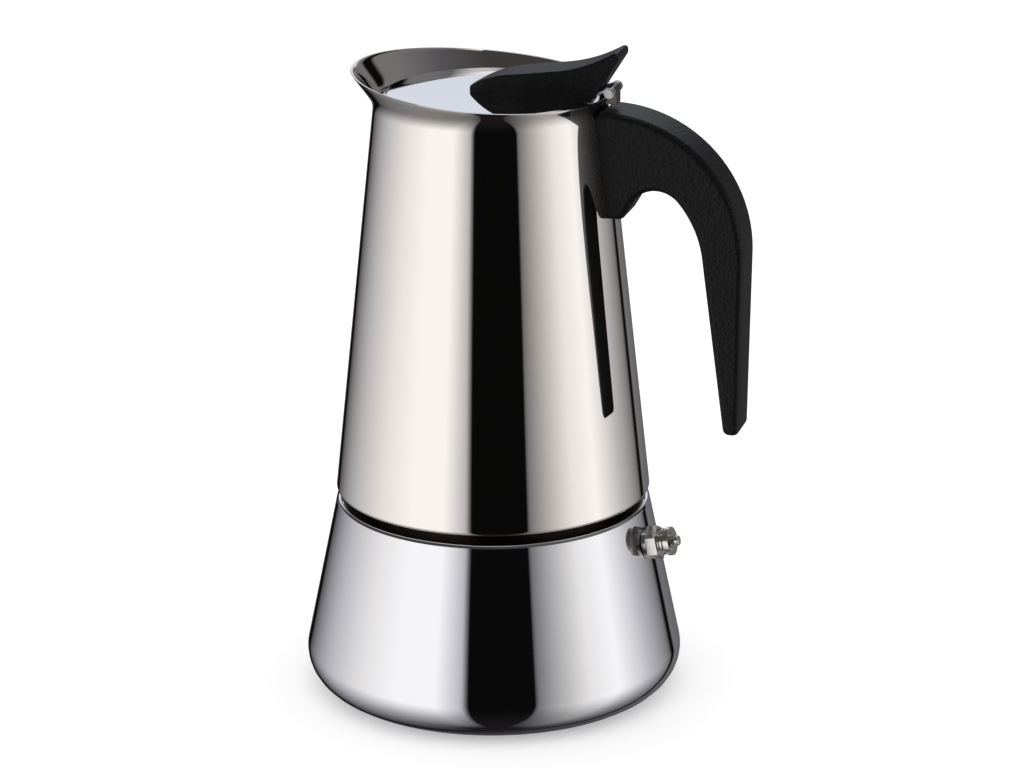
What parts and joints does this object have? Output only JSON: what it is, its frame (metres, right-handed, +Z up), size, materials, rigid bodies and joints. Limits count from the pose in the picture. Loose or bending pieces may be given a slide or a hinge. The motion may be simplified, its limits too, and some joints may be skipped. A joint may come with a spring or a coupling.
{
  "type": "stovetop moka pot",
  "caption": "Stovetop moka pot in polished stainless steel: tapered boiler with a safety valve, jug that screws on top, hinged lid with a black knob, and a black bow handle.",
  "frame": {"origin": "middle of the boiler's foot, on the surface that the pot stands on", "axes": "+Z up along the pot's axis, +X towards the handle, -X towards the spout"},
  "size_m": [0.124, 0.1048, 0.1829],
  "materials": {
    "polished_steel": "mirror-polished stainless steel sheet",
    "satin_steel": "plain stainless steel",
    "silicone_rubber": "matte",
    "black_plastic": "moulded thermoset with a fine grain",
    "nickelled_brass": "turned and nickel-plated",
    "spring_steel": "drawn wire"
  },
  "bodies": {
    "base": {"boiler": "polished_steel", "funnel_basket": "satin_steel", "funnel_stem": "satin_steel", "funnel_sieve": "satin_steel", "valve_washer": "nickelled_brass", "valve_body": "nickelled_brass", "valve_nut": "nickelled_brass", "valve_cap": "nickelled_brass", "valve_spring": "spring_steel"},
    "plunger": {"valve_plunger": "nickelled_brass"},
    "seal": {"gasket": "silicone_rubber", "filter_plate": "satin_steel"},
    "jug": {"jug_body": "polished_steel", "jug_floor": "satin_steel", "thread_collar": "satin_steel", "riser_tube": "satin_steel", "riser_cap": "satin_steel", "handle_bracket": "satin_steel", "handle_grip": "black_plastic", "handle_screw": "satin_steel", "hinge_base": "satin_steel", "hinge_pin": "satin_steel"},
    "lid": {"lid_plate": "polished_steel", "lid_hinge_leaf": "satin_steel", "knob": "black_plastic", "knob_screws": "satin_steel"}
  },
  "joints": [
    {"name": "jug_lift", "type": "slide", "parent": "base", "child": "seal", "axis": [0, 0, 1], "range_m": [0, 0.011]},
    {"name": "jug_turn", "type": "hinge", "parent": "seal", "child": "jug", "pos_m": [0, 0, 0.0687], "axis": [0, 0, 1], "range_deg": [0, 990]},
    {"name": "lid_hinge", "type": "hinge", "parent": "jug", "child": "lid", "pos_m": [0.0341, 0, 0.1718], "axis": [0, 1, 0], "range_deg": [0, 95]},
    {"name": "valve_lift", "type": "slide", "parent": "base", "child": "plunger", "axis": [0.9745, -0.0938, 0.204], "range_m": [0, 0.0012], "stiffness_N_per_m": 500, "springref_m": -0.002, "deforming": ["valve_spring"]}
  ],
  "couplings": [
    {"joint": "jug_lift", "follows": "jug_turn", "m_per_rad": 0.00063662}
  ]
}
